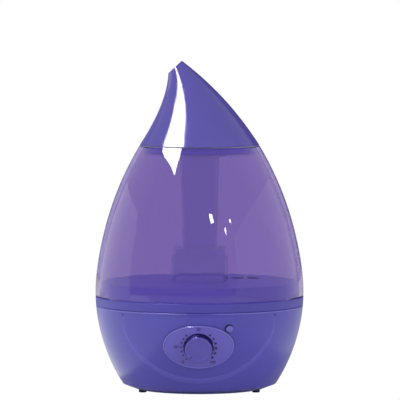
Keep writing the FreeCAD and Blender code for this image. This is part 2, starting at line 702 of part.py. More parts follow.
def tank_pan():
    """The tank's floor: a skirt that stands on the base, and a raised middle with the filling neck."""
    skirt = band(SPLIT_Z + 0.05, WELD_Z, 0, 3.4)
    skirt = skirt.cut(seam_groove(SPLIT_Z)).cut(seam_groove(WELD_Z))
    wall = PAN_WALL
    top = PAN_FLOOR_Z + wall
    rim = lathe([
        (flank_at(WELD_Z)[0] - 2.5, WELD_Z - wall), (flank_at(WELD_Z)[0] - 2.5, WELD_Z), (PAN_WELL_R, WELD_Z),
        (PAN_WELL_R, top), (HUB_R - wall, top), (HUB_R - wall, PAN_FLOOR_Z), (PAN_WELL_R - wall, PAN_FLOOR_Z),
        (PAN_WELL_R - wall, WELD_Z - wall),
    ])
    neck_r = FILL_NECK_R + FILL_NECK_WALL
    neck = cylinder(neck_r, 101, top, CAP_X, CAP_Y)
    lug = tube(neck_r + 1.3, neck_r - 0.5, 103.5, 106.0, CAP_X, CAP_Y)
    wedge = block(CAP_X, CAP_X + 30, CAP_Y - 5, CAP_Y + 5, 100, 110)
    lugs = [lug.common(w) for w in turned_copies(wedge, (0, 120, 240), CAP_X, CAP_Y)]
    pan = joined([skirt, rim, neck] + lugs)
    return pan.cut(cylinder(FILL_NECK_R, 90, top + 5, CAP_X, CAP_Y))


def mist_hub():
    """The stepped collar on the tank's floor that carries the mist tube."""
    wall, low = PAN_WALL, PAN_FLOOR_Z + PAN_WALL + 0.02
    hole, shelf = TUBE_LOW_R - 1.6, 2.0
    return lathe([
        (HUB_R - wall, low), (HUB_R, low), (HUB_R, HUB_STEP_Z), (HUB_TOP_R, HUB_STEP_Z),
        (HUB_TOP_R, HUB_TOP_Z), (hole, HUB_TOP_Z), (hole, HUB_TOP_Z - shelf),
        (HUB_TOP_R - wall, HUB_TOP_Z - shelf), (HUB_TOP_R - wall, HUB_STEP_Z - shelf),
        (HUB_R - wall, HUB_STEP_Z - shelf),
    ])


def mist_tube():
    """The chimney through the tank, in one piece with the pocket that closes the tank's top."""
    low = HUB_TOP_Z + 0.02
    floor_r = TUBE_LOW_R + (TUBE_TOP_R - TUBE_LOW_R) * (POCKET_Z - HUB_TOP_Z) / (TUBE_TOP_Z - HUB_TOP_Z)
    top = NECK_Z - 0.3
    chimney = lathe([
        (TUBE_LOW_R - TUBE_WALL, low), (TUBE_LOW_R, low), (floor_r, POCKET_Z), (POCKET_R, POCKET_Z),
        (POCKET_R, top - 2.4), (70, top - 2.4), (70, top), (POCKET_R - POCKET_WALL, top),
        (POCKET_R - POCKET_WALL, POCKET_Z + 1.8), (floor_r, POCKET_Z + 1.8), (TUBE_TOP_R, TUBE_TOP_Z),
        (TUBE_TOP_R - TUBE_WALL, TUBE_TOP_Z),
    ])
    return chimney.common(skin(TANK_WALL + 0.03))


# ---- Fill cap and valve -------------------------------------------------------------------------
def fill_cap():
    """A quarter-turn cap: three lugs inside it hang on the three lugs of the tank's filling neck."""
    neck_r = FILL_NECK_R + FILL_NECK_WALL
    cup = lathe([
        (0, CAP_LOW_Z), (CAP_R - 1, CAP_LOW_Z), (CAP_R, CAP_LOW_Z + 1), (CAP_R, CAP_TOP_Z),
        (neck_r + 1.7, CAP_TOP_Z), (neck_r + 1.7, CAP_LOW_Z + 2.4), (0, CAP_LOW_Z + 2.4),
    ], CAP_X, CAP_Y)
    lug = tube(neck_r + 2.2, neck_r + 0.4, 106.5, 108.8, CAP_X, CAP_Y)
    wedge = block(CAP_X, CAP_X + 30, CAP_Y - 5, CAP_Y + 5, 100, 110)
    lugs = [lug.common(w) for w in turned_copies(wedge, (0, 120, 240), CAP_X, CAP_Y)]
    grip = cylinder(1.6, CAP_LOW_Z - 1, CAP_TOP_Z + 1, CAP_X + CAP_R + 0.9, CAP_Y)
    cap = joined([cup] + lugs)
    for cutter in turned_copies(grip, [i * 20 for i in range(18)], CAP_X, CAP_Y):
        cap = cap.cut(cutter)
    cap = cap.cut(cylinder(3.0, 80, 120, CAP_X, CAP_Y))
    for x, y in [(CAP_X + 4.4 * math.cos(a), CAP_Y + 4.4 * math.sin(a)) for a in (0.5, 2.6, 4.7)]:
        cap = cap.cut(cylinder(1.0, 80, CAP_LOW_Z + 3, x, y))
    return cap


def fill_cap_seal():
    return tube(FILL_NECK_R + 3.9, FILL_NECK_R - 0.6, CAP_LOW_Z + 2.45, 100.9, CAP_X, CAP_Y)


def valve_cage():
    """Three legs and a top ring that hold the valve's spring over the cap."""
    low = CAP_LOW_Z + 2.42
    ring = tube(8.2, 3.0, 111.2, 113.0, CAP_X, CAP_Y)
    foot = tube(8.2, 7.3, low, low + 0.9, CAP_X, CAP_Y)
    leg = tube(8.2, 6.8, low, 112, CAP_X, CAP_Y)
    leg = leg.common(block(CAP_X, CAP_X + 12, CAP_Y - 2, CAP_Y + 2, 90, 120))
    return joined([ring, foot] + turned_copies(leg, (60, 180, 300), CAP_X, CAP_Y))


def valve_plunger():
    low = CAP_LOW_Z - 6.0
    disc = VALVE_Z + 1.22
    return lathe([
        (0, low), (1.9, low), (2.3, low + 0.6), (2.3, disc), (6.0, disc), (6.0, disc + 1.1),
        (2.3, disc + 1.6), (2.3, 118), (0, 118),
    ], CAP_X, CAP_Y)


def valve_seal():
    return tube(6.2, 2.35, VALVE_Z, VALVE_Z + 1.2, CAP_X, CAP_Y)


def valve_spring():
    low, high, coil_r, wire_r, turns = VALVE_Z + 2.9, 111.1, 3.9, 0.4, 4.5
    pitch = (high - low - 2 * wire_r) / turns
    helix = Part.makeHelix(pitch, pitch * turns, coil_r)
    section = Part.Wire([Part.Circle(V(coil_r, 0, 0), V(0, 1, 0), wire_r).toShape()])
    spring = Part.Wire(helix).makePipeShell([section], True, True)
    spring.translate(V(CAP_X, CAP_Y, low + wire_r))
    return spring


# ---- Nozzle -------------------------------------------------------------------------------------
def horn_solid(inset):
    """The nozzle's bent horn as one solid, with its surface moved in by inset."""
    wires = []
    for i in range(HORN_STATIONS):
        z = HORN_LOW + (HORN_HIGH - HORN_LOW) * i / (HORN_STATIONS - 1)
        rise = z - HORN_LOW
        x = -(HORN_BEND + HORN_CURL * rise) * rise ** 2
        radius = HORN_R - HORN_TAPER * rise + HORN_FLARE * rise ** 2 - inset
        if radius > 1:
            wires.append(Part.Wire([Part.Circle(V(x, 0, z), UP, radius).toShape()]))
    return Part.makeLoft(wires, True, False)


def mouth_cutter():
    """A big block whose lower face is the slanting plane of the mouth."""
    low, high = V(MOUTH_LOW[0], 0, MOUTH_LOW[1]), V(MOUTH_HIGH[0], 0, MOUTH_HIGH[1])
    along = high.sub(low).normalize()
    return placed(block(-100, 100, -100, 100, 0, 100), frame(low, along, V(0, 1, 0)))


def nozzle_cap():
    """The horn, with a shelf inside its rim that carries the skirt."""
    shelf_top = HORN_LOW + 2.0
    horn = horn_solid(0).cut(horn_solid(HORN_WALL))
    skirt_in = SKIRT_R - SKIRT_WALL
    shelf = tube(70, skirt_in, HORN_LOW, shelf_top).common(horn_solid(0.5))
    cap = joined([horn, shelf, tube(SKIRT_R, skirt_in, SKIRT_LOW, shelf_top)])
    groove = lathe([
        (HORN_R + 3, HORN_LOW - SEAM_V - 1), (HORN_R - SEAM_V, HORN_LOW - 0.01),
        (HORN_R + 3, HORN_LOW + SEAM_V + 3),
    ])
    return cap.cut(mouth_cutter()).cut(groove)


def nozzle_seal():
    return tube(60.8, SKIRT_R + 0.02, NECK_Z - 0.25, HORN_LOW - 0.03)


def nozzle_collar():
    """A ring that clips inside the skirt; the nozzle turns on it and it leads drips back to the tube."""
    outer, inner = SKIRT_R - SKIRT_WALL - 0.35, TUBE_TOP_R + 2.0
    return lathe([
        (inner, 249.0), (inner + 2.0, 249.0), (inner + 2.0, 253.5), (outer - 2, 249.2), (outer, 249.2),
        (outer, 255.5), (outer - 1.6, 255.5), (outer - 1.6, 251.2), (inner + 2.0, 256.0),
        (inner + 2.0, 261.0), (inner, 261.0),
    ])


# ---- Every piece, by the name of its node -------------------------------------------------------
PIECES = {
    "base_shell": base_shell,
    "base_deck": base_deck,
    "water_basin": water_basin,
    "valve_post": valve_post,
    "float_post": float_post,
    "bottom_cover": bottom_cover,
    "rubber_feet": rubber_feet,
    "cover_screws": cover_screws,
    "deck_screws": deck_screws,
    "cord_gland": cord_gland,
    "dial_bezel": dial_bezel,
    "control_knob": control_knob,
    "knob_shaft": knob_shaft,
    "potentiometer": potentiometer,
    "potentiometer_nut": potentiometer_nut,
    "indicator_lens": indicator_lens,
    "indicator_lamp": indicator_lamp,
    "indicator_board": indicator_board,
    "transducer_disc": transducer_disc,
    "transducer_seal": transducer_seal,
    "transducer_clamp": transducer_clamp,
    "clamp_screws": clamp_screws,
    "mist_chamber": mist_chamber,
    "fan_hood": fan_hood,
    "air_riser": air_riser,
    "fan_frame": fan_frame,
    "fan_rotor": fan_rotor,
    "fan_windings": fan_windings,
    "fan_screws": fan_screws,
    "driver_board": driver_board,
    "board_screws": board_screws,
    "heat_sink": heat_sink,
    "board_transformer": board_transformer,
    "board_capacitors": board_capacitors,
    "float_ring": float_ring,
    "float_clip": float_clip,
    "tank_shell": tank_shell,
    "tank_pan": tank_pan,
    "mist_hub": mist_hub,
    "mist_tube": mist_tube,
    "fill_cap": fill_cap,
    "fill_cap_seal": fill_cap_seal,
    "valve_cage": valve_cage,
    "valve_plunger": valve_plunger,
    "valve_seal": valve_seal,
    "valve_spring": valve_spring,
    "nozzle_cap": nozzle_cap,
    "nozzle_seal": nozzle_seal,
    "nozzle_collar": nozzle_collar,
}


def main():
    os.makedirs("parts", exist_ok=True)
    for name, make in PIECES.items():
        shape = make()
        solids = shape.Solids
        good = all(s.isValid() and s.isClosed() and s.Volume > 0 for s in solids)
        print(f"{name:20s} solids {len(solids)}  volume {shape.Volume:10.1f}  {'ok' if good else 'BAD'}")
        shape.exportStep(f"parts/{name}.step")


main()
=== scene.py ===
"""A teardrop cool mist humidifier: finishes, small surface pieces, light and camera round the CAD part."""

import json
import math

import bmesh
import bpy
from mathutils import Matrix, Vector
from mathutils.bvhtree import BVHTree


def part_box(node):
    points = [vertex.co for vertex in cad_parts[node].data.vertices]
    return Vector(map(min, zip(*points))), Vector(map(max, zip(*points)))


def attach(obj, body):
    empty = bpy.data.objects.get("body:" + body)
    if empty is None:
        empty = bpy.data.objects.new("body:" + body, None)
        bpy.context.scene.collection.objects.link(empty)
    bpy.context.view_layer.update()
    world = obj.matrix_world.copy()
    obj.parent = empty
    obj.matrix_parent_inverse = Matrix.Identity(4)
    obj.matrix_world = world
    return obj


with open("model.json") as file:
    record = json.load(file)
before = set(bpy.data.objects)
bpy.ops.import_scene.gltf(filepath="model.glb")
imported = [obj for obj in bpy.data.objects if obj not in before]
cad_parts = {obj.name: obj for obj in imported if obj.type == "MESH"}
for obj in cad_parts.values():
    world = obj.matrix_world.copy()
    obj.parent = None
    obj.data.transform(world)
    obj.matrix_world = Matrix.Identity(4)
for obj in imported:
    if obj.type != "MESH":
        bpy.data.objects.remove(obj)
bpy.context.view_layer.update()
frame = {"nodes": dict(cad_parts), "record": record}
nodes = frame["nodes"]
scene = bpy.context.scene
MM = 0.001


# ---- Material building --------------------------------------------------------------------------
def new_material(name):
    mat = bpy.data.materials.new(name)
    mat.use_nodes = True
    tree = mat.node_tree
    return mat, tree, tree.nodes["Principled BSDF"]


def add(tree, kind, **sockets):
    node = tree.nodes.new(kind)
    for key, value in sockets.items():
        node.inputs[key.replace("_", " ")].default_value = value
    return node


def coordinates(tree):
    return tree.nodes.new("ShaderNodeTexCoord").outputs["Object"]


def orange_peel(tree, bsdf, place, scale, strength):
    """The faint unevenness of a moulded surface."""
    fine = add(tree, "ShaderNodeTexNoise", Scale=scale, Detail=3.0)
    tree.links.new(place, fine.inputs["Vector"])
    dent = add(tree, "ShaderNodeBump", Strength=strength, Distance=0.0002)
    tree.links.new(fine.outputs["Fac"], dent.inputs["Height"])
    tree.links.new(dent.outputs["Normal"], bsdf.inputs["Normal"])
    return dent


def wandering_roughness(tree, bsdf, place, roughness, spread):
    """Roughness that drifts a little over the surface; returns the noise that drives it."""
    coarse = add(tree, "ShaderNodeTexNoise", Scale=14.0, Detail=4.0)
    tree.links.new(place, coarse.inputs["Vector"])
    span = tree.nodes.new("ShaderNodeMapRange")
    span.inputs["To Min"].default_value = roughness - spread
    span.inputs["To Max"].default_value = roughness + spread
    tree.links.new(coarse.outputs["Fac"], span.inputs["Value"])
    tree.links.new(span.outputs["Result"], bsdf.inputs["Roughness"])
    return coarse


def plastic(name, colour, roughness=0.25, bump=0.05, scale=900.0, vary=0.05, specular=0.5, glow=0.0):
    """Opaque moulded plastic; glow is a painted glow, emission that stands in for the light a translucent
    part passes on from behind.
    """
    mat, tree, bsdf = new_material(name)
    place = coordinates(tree)
    orange_peel(tree, bsdf, place, scale, bump)
    coarse = wandering_roughness(tree, bsdf, place, roughness, roughness * 0.12)
    ramp = tree.nodes.new("ShaderNodeValToRGB")
    low, high = ramp.color_ramp.elements
    low.position, high.position = 0.3, 0.7
    low.color = [c * (1 - vary) for c in colour] + [1]
    high.color = [min(1, c * (1 + vary)) for c in colour] + [1]
    tree.links.new(coarse.outputs["Fac"], ramp.inputs["Fac"])
    tree.links.new(ramp.outputs["Color"], bsdf.inputs["Base Color"])
    bsdf.inputs["Specular IOR Level"].default_value = specular
    if glow:
        bsdf.inputs["Emission Color"].default_value = (*colour, 1)
        bsdf.inputs["Emission Strength"].default_value = glow
    return mat


def clear_plastic(name, tint, roughness=0.015, bump=0.012):
    """Polished see-through plastic; tint is what one wall lets through, and lamps shine through it."""
    mat, tree, bsdf = new_material(name)
    place = coordinates(tree)
    orange_peel(tree, bsdf, place, 220.0, bump)
    wandering_roughness(tree, bsdf, place, roughness, roughness * 0.4)
    bsdf.inputs["Base Color"].default_value = (*tint, 1)
    bsdf.inputs["Transmission Weight"].default_value = 1.0
    bsdf.inputs["IOR"].default_value = 1.49
    passed = add(tree, "ShaderNodeBsdfTransparent")
    passed.inputs["Color"].default_value = [math.sqrt(c) for c in tint] + [1]
    path = tree.nodes.new("ShaderNodeLightPath")
    either = tree.nodes.new("ShaderNodeMixShader")
    tree.links.new(path.outputs["Is Shadow Ray"], either.inputs["Fac"])
    tree.links.new(bsdf.outputs["BSDF"], either.inputs[1])
    tree.links.new(passed.outputs["BSDF"], either.inputs[2])
    tree.links.new(either.outputs["Shader"], tree.nodes["Material Output"].inputs["Surface"])
    return mat


def metal(name, colour, roughness=0.3):
    mat, tree, bsdf = new_material(name)
    place = coordinates(tree)
    orange_peel(tree, bsdf, place, 1500.0, 0.08)
    wandering_roughness(tree, bsdf, place, roughness, 0.06)
    bsdf.inputs["Base Color"].default_value = (*colour, 1)
    bsdf.inputs["Metallic"].default_value = 1.0
    return mat


# ---- The dial's own frame, from the record's joint ----------------------------------------------
knob_joint = next(j for j in frame["record"]["behaviour"]["joints"] if j["name"] == "knob_turn")
DIAL_CENTRE = Vector(knob_joint["pos_m"])
DIAL_OUT = -Vector(knob_joint["axis"]).normalized()
DIAL_RIGHT = Vector((1, 0, 0))
DIAL_UP = DIAL_OUT.cross(DIAL_RIGHT).normalized()


def maths(tree, operation, first, second=None):
    """A maths node; each input is another node's output or a number."""
    node = tree.nodes.new("ShaderNodeMath")
    node.operation = operation
    for socket, value in zip(node.inputs, (first, second)):
        if isinstance(value, float):
            socket.default_value = value
        elif value is not None:
            tree.links.new(value, socket)
    return node.outputs[0]


def turned_rings(tree, bsdf, dent, spacing, strength):
    """Faint turned rings round the dial's axis, added to a bump that is there already."""
    moved = tree.nodes.new("ShaderNodeVectorMath")
    moved.operation = "SUBTRACT"
    tree.links.new(coordinates(tree), moved.inputs[0])
    moved.inputs[1].default_value = DIAL_CENTRE
    squares = []
    for axis in (DIAL_RIGHT, DIAL_UP):
        along = tree.nodes.new("ShaderNodeVectorMath")
        along.operation = "DOT_PRODUCT"
        tree.links.new(moved.outputs["Vector"], along.inputs[0])
        along.inputs[1].default_value = axis
        squares.append(maths(tree, "MULTIPLY", along.outputs["Value"], along.outputs["Value"]))
    reach = maths(tree, "SQRT", maths(tree, "ADD", squares[0], squares[1]))
    wave = maths(tree, "SINE", maths(tree, "MULTIPLY", reach, 2 * math.pi / spacing))
    rings = add(tree, "ShaderNodeBump", Strength=strength, Distance=0.0004)
    tree.links.new(wave, rings.inputs["Height"])
    tree.links.new(dent.outputs["Normal"], rings.inputs["Normal"])
    tree.links.new(rings.outputs["Normal"], bsdf.inputs["Normal"])


# ---- Materials ----------------------------------------------------------------------------------
VIOLET = (0.057, 0.048, 0.325)
MATERIALS = {
    "body_plastic": plastic("violet_body", VIOLET, roughness=0.30),
    "nozzle_plastic": plastic("violet_nozzle", (0.085, 0.070, 0.325), roughness=0.10, bump=0.02),
    "dial_plastic": plastic("violet_dial", (0.104, 0.085, 0.415), roughness=0.20, bump=0.03),
    "knob_plastic": plastic("violet_knob", (0.080, 0.063, 0.345), roughness=0.24),
    "tank_plastic": clear_plastic("violet_tank", (0.425, 0.335, 0.640)),
    "pan_plastic": clear_plastic("violet_pan", (0.80, 0.76, 0.96)),
    "tube_plastic": clear_plastic("violet_tube", (0.80, 0.81, 0.93)),
    # Painted light: the deck glows, in place of light that reaches it through the tank.
    "deck_plastic": plastic("violet_deck_painted_glow", (0.215, 0.185, 0.50), roughness=0.35, glow=0.28),
    "cover_plastic": plastic("violet_cover", (0.045, 0.040, 0.20), roughness=0.45, bump=0.2, scale=1500.0),
    # Painted light: the cap glows, in place of light that reaches it through the tank.
    "cap_plastic": plastic("violet_cap_painted_glow", (0.20, 0.18, 0.44), roughness=0.35, glow=0.2),
    "float_plastic": plastic("white_float", (0.75, 0.75, 0.78), roughness=0.4),
    "lens_plastic": plastic("violet_lens", (0.115, 0.098, 0.38), roughness=0.12),
    "lamp_plastic": plastic("clear_lamp", (0.6, 0.62, 0.8), roughness=0.1),
    "dark_rubber": plastic("dark_rubber", (0.012, 0.010, 0.04), roughness=0.6, bump=0.3, scale=2200.0),
    "light_rubber": plastic("silicone", (0.62, 0.62, 0.66), roughness=0.45, bump=0.1),
    "zinc_steel": metal("zinc_steel", (0.56, 0.56, 0.58)),
    "nickel_steel": metal("nickel_steel", (0.6, 0.58, 0.55)),
    "brass_nut": metal("brass_nut", (0.72, 0.52, 0.22)),
    "anodised_aluminium": metal("anodised_aluminium", (0.66, 0.66, 0.68), roughness=0.38),
    "piezo_ceramic": plastic("piezo_ceramic", (0.62, 0.56, 0.42), roughness=0.3),
    "circuit_board": plastic("circuit_board", (0.012, 0.11, 0.03), roughness=0.35),
    "black_plastic": plastic("black_plastic", (0.008, 0.008, 0.009), roughness=0.4),
    "copper_wire": metal("copper_wire", (0.75, 0.32, 0.15)),
    "transformer_core": plastic("transformer_core", (0.02, 0.018, 0.017), roughness=0.5),
    "capacitor_sleeve": plastic("capacitor_sleeve", (0.01, 0.014, 0.06), roughness=0.25),
}
# Painted light: the nozzle's skirt inside the tank, a paler, glowing copy of the nozzle's violet.
SKIRT_PAINTED_LIGHT = plastic("violet_skirt_painted_light", (0.30, 0.25, 0.72), roughness=0.2, glow=0.32)
HEM = plastic("violet_hem", (0.051, 0.043, 0.29), roughness=0.48)
# Painted shade: a near-black violet for the knob's side wall and the well round it.
KNOB_PAINTED_SHADE = plastic("violet_knob_painted_shade", (0.006, 0.003, 0.060), roughness=0.5, specular=0.25)
# Painted highlight: a lighter violet for the rounded beads on the dial plate's rim and the base's top lip.
EDGE_PAINTED_HIGHLIGHT = plastic("violet_edge_painted_highlight", (0.155, 0.140, 0.48), roughness=0.22, bump=0.02)
# Painted highlight: a lighter violet for the bead along the sunk panel's edge.
CREASE_PAINTED_HIGHLIGHT = plastic("violet_crease_painted_highlight", (0.074, 0.065, 0.368), roughness=0.30)
# Painted light: a pale, glowing colour for the mist chamber seen through the tank.
CHAMBER_PAINTED_LIGHT = plastic("violet_chamber_painted_light", (0.36, 0.31, 0.60), roughness=0.35, glow=0.32)
# Painted light: a glowing colour for the outside of the pan's raised middle.
PAN_MIDDLE_PAINTED_GLOW = plastic("violet_pan_middle_painted_glow", (0.215, 0.185, 0.56), roughness=0.40, specular=0.2, glow=0.25)
PRINT = plastic("dark_print", (0.010, 0.006, 0.075), roughness=0.5)

slots = {s["node"]: s["material_slot"] for s in frame["record"]["subparts"]}
for name, obj in nodes.items():
    obj.data.materials.clear()
    obj.data.materials.append(MATERIALS[slots[name]])
    for polygon in obj.data.polygons:
        polygon.material_index = 0


def second_material(node, material, wanted):
    """Gives the faces of a node that wanted() picks their own material."""
    mesh = nodes[node].data
    mesh.materials.append(material)
    index = len(mesh.materials) - 1
    for polygon in mesh.polygons:
        if wanted(polygon):
            polygon.material_index = index


# Painted light: the mist chamber gets the glowing colour.
nodes["mist_chamber"].data.materials[0] = CHAMBER_PAINTED_LIGHT
# Painted light: the nozzle below the tank's top gets the paler, glowing skirt colour.
horn_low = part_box("tank_shell")[1][2]
second_material("nozzle_cap", SKIRT_PAINTED_LIGHT, lambda p: p.center.z < horn_low)

# The pan's hem, below the weld, is thick enough to look solid.
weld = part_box("tank_shell")[0][2]
LEVEL = 0.1 * MM
HEM_INSIDE = 103 * MM
second_material("tank_pan", HEM, lambda p: p.center.z < weld + LEVEL and p.center.xy.length > HEM_INSIDE)

# So do the outside of the pan's raised middle and the top of its floor, which also get a painted glow.
floor_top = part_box("tank_pan")[1][2]
LEDGE = 2 * MM


def on_pan_outside(polygon):
    on_floor = polygon.normal.z > 0.9 and polygon.center.z > floor_top - LEVEL
    outward = polygon.normal.xy.dot(polygon.center.xy) > 0.05
    return on_floor or (polygon.center.z > weld + LEDGE and outward)


second_material("tank_pan", PAN_MIDDLE_PAINTED_GLOW, on_pan_outside)

KNOB_FACE_RIM, WELL_RIM = 13.2 * MM, 15.6 * MM


def from_dial_axis(polygon):
    away = polygon.center - DIAL_CENTRE
    return (away - DIAL_OUT * away.dot(DIAL_OUT)).length


def on_knob_side(polygon):
    return from_dial_axis(polygon) > KNOB_FACE_RIM and abs(polygon.normal.dot(DIAL_OUT)) < 0.3


# Painted shade: the knob's side wall and the plate's well round the knob are painted near black for the
# shade in the gap.
second_material("control_knob", KNOB_PAINTED_SHADE, on_knob_side)
second_material("dial_bezel", KNOB_PAINTED_SHADE, lambda p: from_dial_axis(p) < WELL_RIM)
knob_tree = MATERIALS["knob_plastic"].node_tree
turned_rings(
    knob_tree, knob_tree.nodes["Principled BSDF"], knob_tree.nodes["Bump"], spacing=3.2 * MM, strength=0.10,
)


# ---- Small pieces on the base's surface ---------------------------------------------------------
def surface_of(node):
    mesh = nodes[node].data
    return BVHTree.FromPolygons([v.co for v in mesh.vertices], [p.vertices for p in mesh.polygons])


def finished(name, mesh, body, material):
    obj = bpy.data.objects.new(name, mesh)
    scene.collection.objects.link(obj)
    mesh.materials.append(material)
    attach(obj, body)
    return obj


plate = surface_of("dial_bezel")
shell = surface_of("base_shell")
PRINT_HEIGHT, PRINT_ROOT = 0.12 * MM, 0.15 * MM
IN_FRONT = 30 * MM


def on_plate(x, y):
    """The dial plate's surface at a spot in the dial's own plane."""
    start = DIAL_CENTRE + DIAL_RIGHT * x + DIAL_UP * y + DIAL_OUT * IN_FRONT
    return plate.ray_cast(start, -DIAL_OUT)[0]


def raised_print(name, flat):
    """Turns flat faces in the dial's plane into print that stands on the dial plate."""
    made = bmesh.ops.extrude_face_region(flat, geom=flat.faces[:])
    top = {v for v in made["geom"] if isinstance(v, bmesh.types.BMVert)}
    for vert in flat.verts:
        spot = on_plate(vert.co.x, vert.co.y)
        vert.co = spot + DIAL_OUT * (PRINT_HEIGHT if vert in top else -PRINT_ROOT)
    bmesh.ops.recalc_face_normals(flat, faces=flat.faces[:])
    mesh = bpy.data.meshes.new(name)
    flat.to_mesh(mesh)
    flat.free()
    return finished(name, mesh, "base", PRINT)


DOT_CIRCLE = 17.9 * MM
DOT_ANGLES = [225 - 15.3 * i for i in range(7)] + [49 - 17.4 * i for i in range(6)]


def dial_dots():
    """A dot for each step of the dial, growing from low to high."""
    flat = bmesh.new()
    for step, degrees in enumerate(DOT_ANGLES):
        turn = math.radians(degrees)
        centre = Vector((math.cos(turn), math.sin(turn), 0)) * DOT_CIRCLE
        radius = (0.80 + 0.045 * step) * MM
        bmesh.ops.create_circle(
            flat, cap_ends=True, segments=20, radius=radius, matrix=Matrix.Translation(centre),
        )
    raised_print("dial_dots", flat)


NUMERALS = [("-0-", -15.9, -16.2), ("-20", -23.8, 0.2), ("50", 0.0, 19.6), ("100", 14.3, -16.4)]
NUMERAL_SIZE = 4.2 * MM


def dial_numerals():
    for number, x, y in NUMERALS:
        text = bpy.data.curves.new("numeral_" + number, "FONT")
        text.body = number
        text.size = NUMERAL_SIZE
        text.align_x, text.align_y = "CENTER", "CENTER"
        text.resolution_u = 3
        text.offset = 0.04 * MM
        holder = bpy.data.objects.new("numeral", text)
        drawn = bpy.data.meshes.new_from_object(holder)
        flat = bmesh.new()
        flat.from_mesh(drawn)
        bmesh.ops.translate(flat, verts=flat.verts[:], vec=(x * MM, y * MM, 0))
        bpy.data.objects.remove(holder)
        bpy.data.meshes.remove(drawn)
        raised_print("dial_numeral_" + number, flat)


# The sunk panel is half an ellipse; the bead lies a little inside its edge.
PANEL_A, PANEL_B, PANEL_Z, PANEL_DEEP = 79.0 * MM, 71.0 * MM, 87.0 * MM, 0.6 * MM
BEAD_A, BEAD_B = 77.6 * MM, 67.4 * MM
OUTSIDE = 300 * MM


def on_shell(x, z):
    """Point and outward normal of the base's front at a spot seen from the front."""
    return shell.ray_cast(Vector((x, -OUTSIDE, z)), Vector((0, 1, 0)))[:2]


def panel_bead():
    """The soft raised line in the edge of the sunk U-shaped panel, in a lighter violet than the base as a
    painted highlight.
    """
    inside, past, rise, backing, tuck = 1.9 * MM, 0.7 * MM, 0.42 * MM, 1.0 * MM, 0.06 * MM
    steps, across, fade_steps = 140, 13, 9
    rows = []
    for i in range(steps + 1):
        turn = math.radians(181.5 + 177 * i / steps)
        fade = min(1.0, min(i, steps - i) / fade_steps)
        rim = Vector((BEAD_A * math.cos(turn), BEAD_B * math.sin(turn)))
        outward = Vector((math.cos(turn) / BEAD_A, math.sin(turn) / BEAD_B)).normalized()
        edge = Vector((PANEL_A * math.cos(turn), PANEL_B * math.sin(turn))) + outward * past
        inner = rim - outward * inside
        high, n = on_shell(edge.x, PANEL_Z + edge.y)
        low, m = on_shell(inner.x, PANEL_Z + inner.y)
        above, below = [], []
        for j in range(across):
            side = 1 - 2 * j / (across - 1)
            flat = rim + (edge - rim if side > 0 else rim - inner) * side
            mix = (edge - flat).length / (edge - inner).length
            sunk = PANEL_DEEP * mix * mix * (3 - 2 * mix)
            hump = rise * fade * math.cos(side * math.pi / 2) ** 2
            ends = tuck if abs(side) == 1 else 0.0
            spot = high.lerp(low + m * PANEL_DEEP, min(1.0, mix)) + n * (hump - sunk - ends)
            above.append(spot)
            below.append(spot - n * backing)
        rows.append(above + below[::-1])
    mesh = bpy.data.meshes.new("panel_bead")
    count = len(rows[0])
    faces = []
    for i in range(len(rows) - 1):
        for j in range(count):
            k = (j + 1) % count
            faces.append((i * count + j, i * count + k, (i + 1) * count + k, (i + 1) * count + j))
    faces.append(tuple(range(count))[::-1])
    faces.append(tuple((len(rows) - 1) * count + j for j in range(count)))
    mesh.from_pydata([v for row in rows for v in row], [], faces)
    built = bmesh.new()
    built.from_mesh(mesh)
    bmesh.ops.recalc_face_normals(built, faces=built.faces[:])
    built.to_mesh(mesh)
    built.free()
    mesh.shade_smooth()
    return finished("panel_bead", mesh, "base", CREASE_PAINTED_HIGHLIGHT)


def swept_ring(name, path, radius, material, section=10):
    """A thin round bead along a closed path of (point, outward, up) frames."""
    verts, faces = [], []
    count = len(path)
    for i, (point, outward, up) in enumerate(path):
        for j in range(section):
            turn = 2 * math.pi * j / section
            verts.append(point + outward * (radius * math.cos(turn)) + up * (radius * math.sin(turn)))
            i2, j2 = (i + 1) % count, (j + 1) % section
            faces.append((i * section + j, i2 * section + j, i2 * section + j2, i * section + j2))
    mesh = bpy.data.meshes.new(name)
    mesh.from_pydata(verts, [], faces)
    mesh.shade_smooth()
    return finished(name, mesh, "base", material)


def lens_gap_painted_shade():
    """A dark ring put in the gap round the indicator lens: painted shade of the gap."""
    ring, thick, around = 4.15 * MM, 0.65 * MM, 48
    beside, edge, before = 6.5 * MM, 5.5 * MM, 50 * MM
    low, high = (Vector(c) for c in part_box("indicator_lens"))
    centre = (low + high) / 2
    normals = [on_shell(centre.x + beside * side, centre.z)[1] for side in (-1, 1)]
    normal = (normals[0] + normals[1]).normalized()
    rim = shell.ray_cast(centre + normal * before + Vector((edge, 0, 0)), -normal)[0]
    middle = centre + normal * (rim - centre).dot(normal)
    turn = normal.to_track_quat("Z", "Y").to_matrix()
    path = []
    for i in range(around):
        angle = 2 * math.pi * i / around
        away = turn @ Vector((math.cos(angle), math.sin(angle), 0))
        path.append((middle + away * ring, away, normal))
    return swept_ring("lens_gap_painted_shade", path, thick, MATERIALS["dark_rubber"], section=12)


